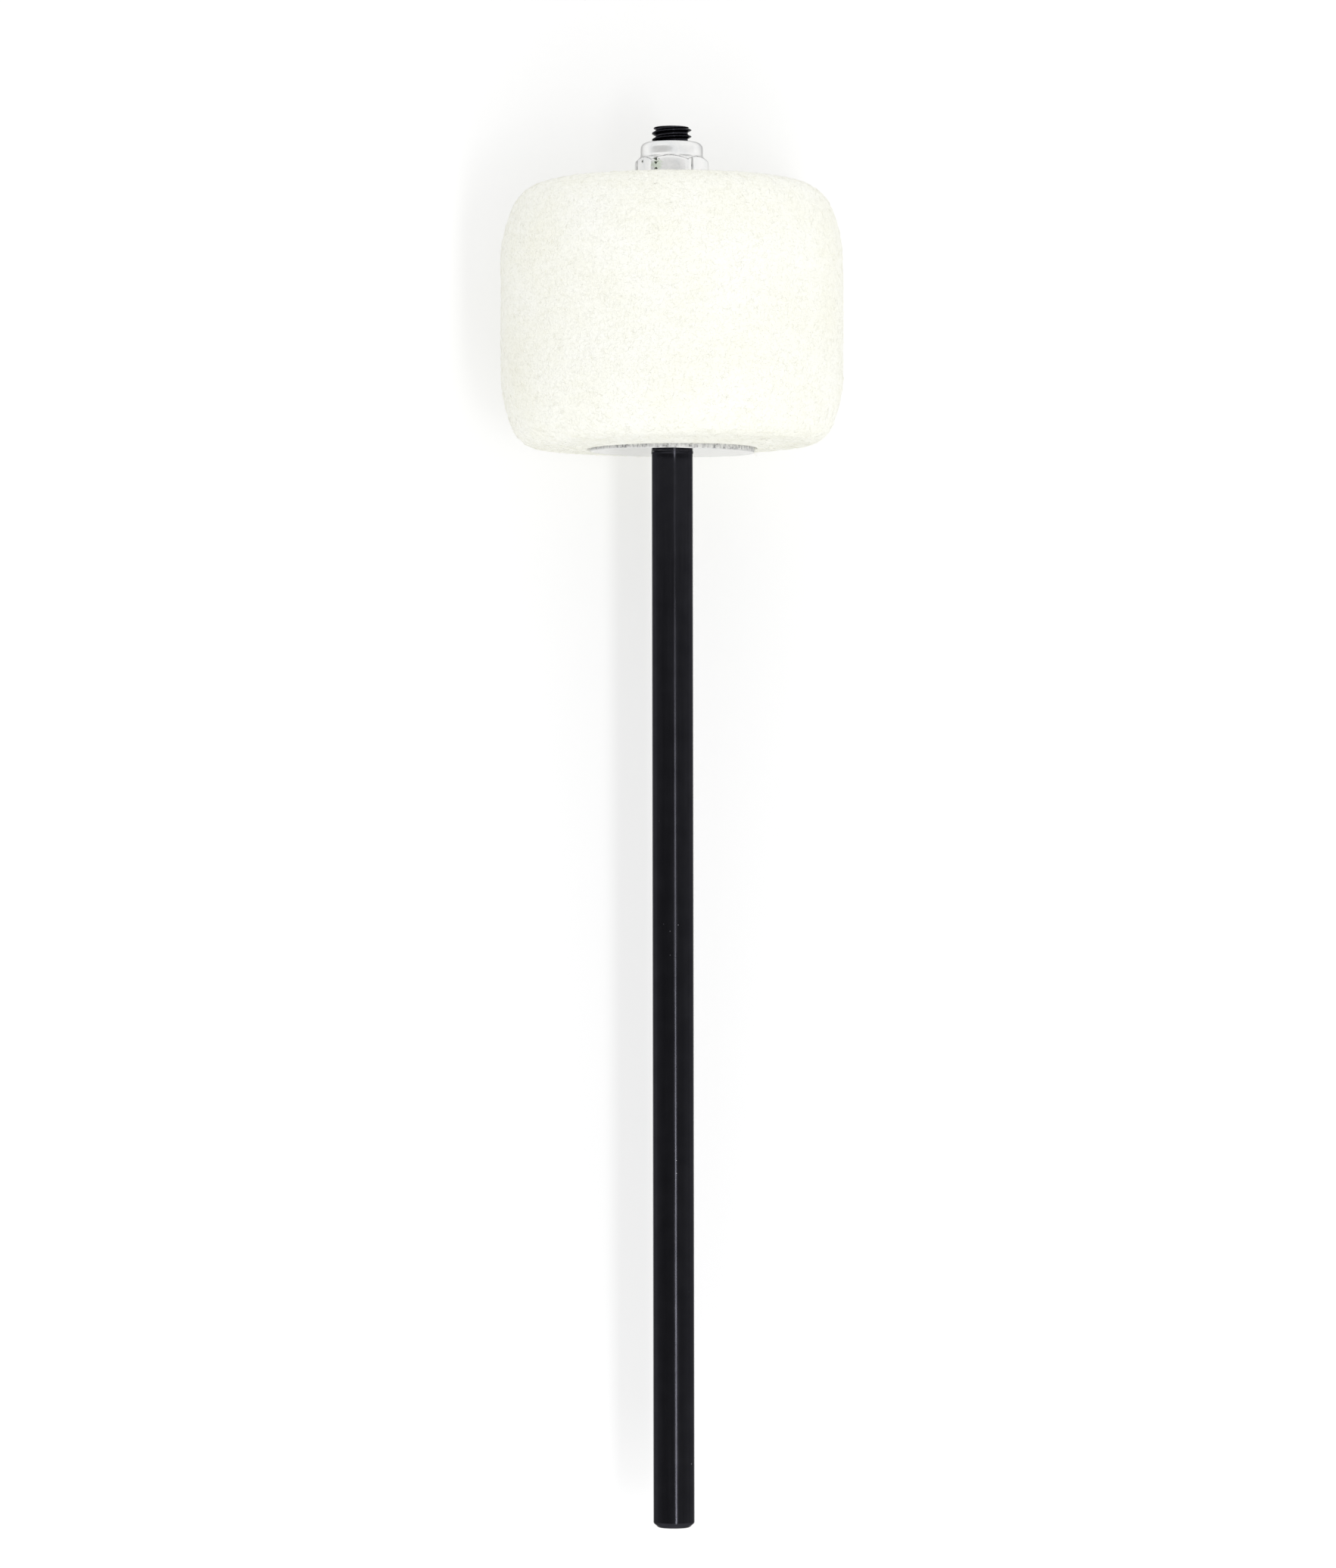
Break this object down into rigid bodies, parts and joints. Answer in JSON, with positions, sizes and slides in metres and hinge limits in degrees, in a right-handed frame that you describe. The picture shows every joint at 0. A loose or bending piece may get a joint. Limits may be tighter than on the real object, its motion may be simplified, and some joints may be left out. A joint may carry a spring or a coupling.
{
  "type": "bass drum beater",
  "caption": "Bass drum beater: a hard felt head clamped between large washers on the threaded end of a round black rod, held by a nylon-insert lock nut.",
  "frame": {"origin": "centre of the rod's plain tail end", "axes": "+Z along the rod from its tail to the felt head; +X to the right in the picture's view, which looks along +Y"},
  "size_m": [0.0668, 0.0668, 0.2724],
  "materials": {
    "black_steel": "satin black",
    "zinc_steel": "bright zinc plate",
    "felt": "dense pressed wool felt, short nap",
    "nylon": "natural nylon"
  },
  "bodies": {
    "shaft": {"shaft": "black_steel", "lower_washer": "zinc_steel"},
    "head": {"felt_head": "felt"},
    "clamp_washer": {"upper_washer": "zinc_steel"},
    "nut": {"lock_nut": "zinc_steel", "nylon_ring": "nylon"}
  },
  "joints": [
    {"name": "head_turn", "type": "hinge", "parent": "shaft", "child": "head", "pos_m": [0, 0, 0.2355], "axis": [0, 0, 1], "continuous": true},
    {"name": "nut_travel", "type": "slide", "parent": "shaft", "child": "clamp_washer", "axis": [0, 0, 1], "range_m": [0, 0.011]},
    {"name": "nut_turn", "type": "hinge", "parent": "clamp_washer", "child": "nut", "pos_m": [0, 0, 0.2654], "axis": [0, 0, 1], "range_deg": [0, 3168]}
  ],
  "couplings": [
    {"joint": "nut_travel", "follows": "nut_turn", "m_per_rad": 0.00019894}
  ]
}
